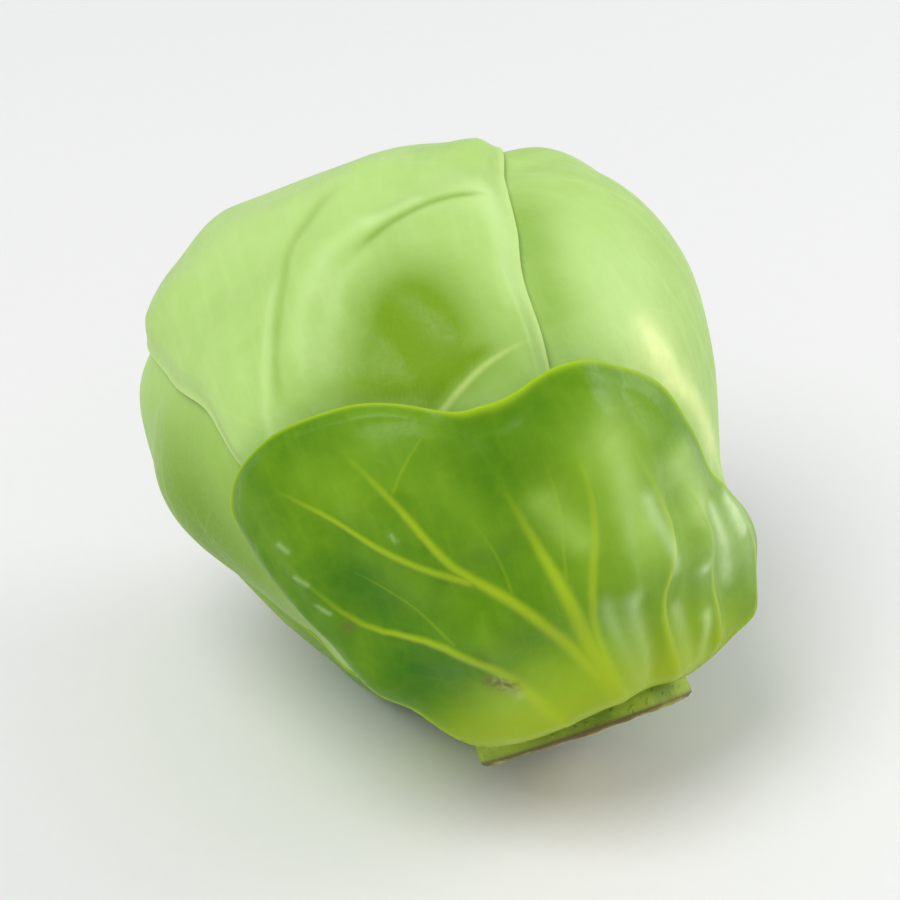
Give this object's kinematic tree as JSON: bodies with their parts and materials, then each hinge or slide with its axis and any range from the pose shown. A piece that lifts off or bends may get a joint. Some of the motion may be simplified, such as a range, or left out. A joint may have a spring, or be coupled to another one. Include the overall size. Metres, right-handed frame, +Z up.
{
  "type": "brussels sprout",
  "caption": "Brussels sprout as picked: a short cut stalk, a tight round head of overlapping pale leaves and darker veined outer leaves, lying on its side.",
  "frame": {"origin": "middle of the small flat spot that the sprout lies on", "axes": "+Z up; -Y towards the viewer, as in the picture. The sprout lies on its side, with its stalk end down at the front right and its crown up at the back left"},
  "size_m": [0.0358, 0.035, 0.0343],
  "materials": {
    "cut_stalk": "matt, dry, browned cut",
    "heart_leaf": "satin, waxy",
    "head_leaf": "satin, waxy",
    "outer_leaf": "satin, waxy, with raised veins"
  },
  "bodies": {
    "root": {"stalk": "cut_stalk", "heart": "heart_leaf", "head_leaf_back": "head_leaf", "head_leaf_left": "head_leaf", "head_leaf_right": "head_leaf", "head_leaf_front": "head_leaf", "outer_leaf_right": "outer_leaf", "outer_leaf_left": "outer_leaf", "outer_leaf_front": "outer_leaf"}
  },
  "joints": []
}
